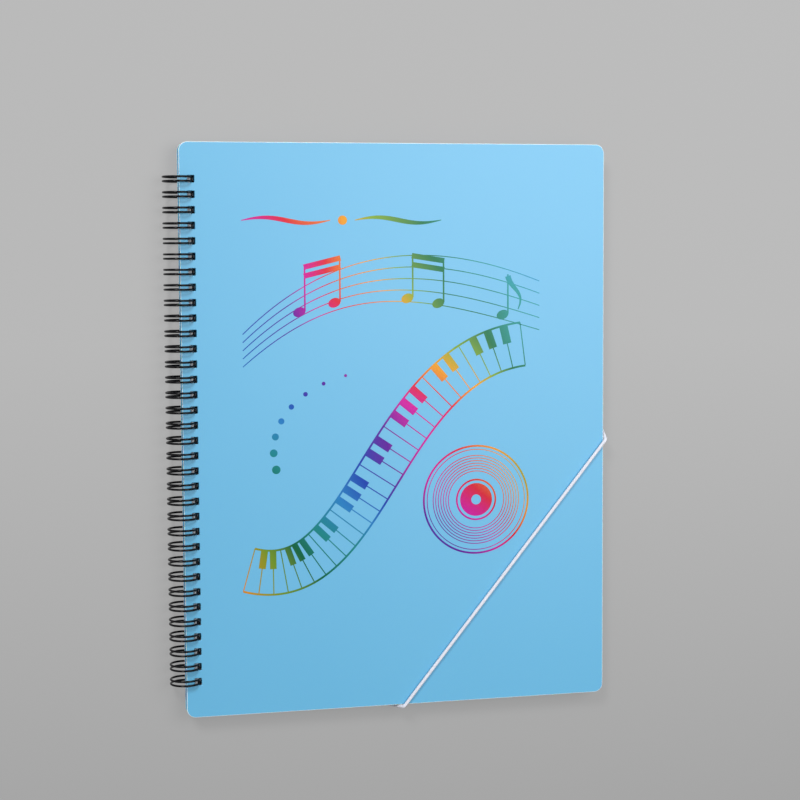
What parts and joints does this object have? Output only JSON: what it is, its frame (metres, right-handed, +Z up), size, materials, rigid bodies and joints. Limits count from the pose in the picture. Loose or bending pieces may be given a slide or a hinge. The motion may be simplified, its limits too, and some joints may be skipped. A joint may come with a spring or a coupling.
{
  "type": "wire-bound music folder",
  "caption": "Closed light blue plastic folder for sheet music, with pocket leaves, a black twin-loop wire spine and a white elastic cord across one corner",
  "frame": {"origin": "Under the middle of the whole folder, on the surface that it lies on.", "axes": "+Z up out of the front cover, +Y up along the spine as the cover is read, +X from the spine to the opening edge."},
  "size_m": [0.256, 0.3222, 0.0172],
  "materials": {
    "cover_plastic": "light sky blue polypropylene sheet with a fine matte grain",
    "leaf_film": "milky clear polypropylene film pockets with white sheets inside",
    "black_wire": "steel wire with a glossy black nylon coat",
    "white_elastic": "round braided elastic cord, white",
    "barb_metal": "thin plated steel strip",
    "foil_print": "thin hot-stamped foil print whose colour runs from green over blue and magenta to red and gold"
  },
  "bodies": {
    "pages": {"pocket_pages": "leaf_film", "wire_binding": "black_wire"},
    "front_cover": {"front_cover": "cover_plastic"},
    "back_cover": {"back_cover": "cover_plastic", "elastic_cord": "white_elastic", "upper_barb": "barb_metal", "lower_barb": "barb_metal"}
  },
  "joints": [
    {"name": "front_cover_hinge", "type": "hinge", "parent": "pages", "child": "front_cover", "pos_m": [-0.11945, 0, 0.0086], "axis": [0, -1, 0], "range_deg": [0, 180], "deforming": ["elastic_cord"]},
    {"name": "back_cover_hinge", "type": "hinge", "parent": "pages", "child": "back_cover", "pos_m": [-0.11945, 0, 0.0086], "axis": [0, 1, 0], "range_deg": [0, 180], "deforming": ["elastic_cord"]}
  ]
}
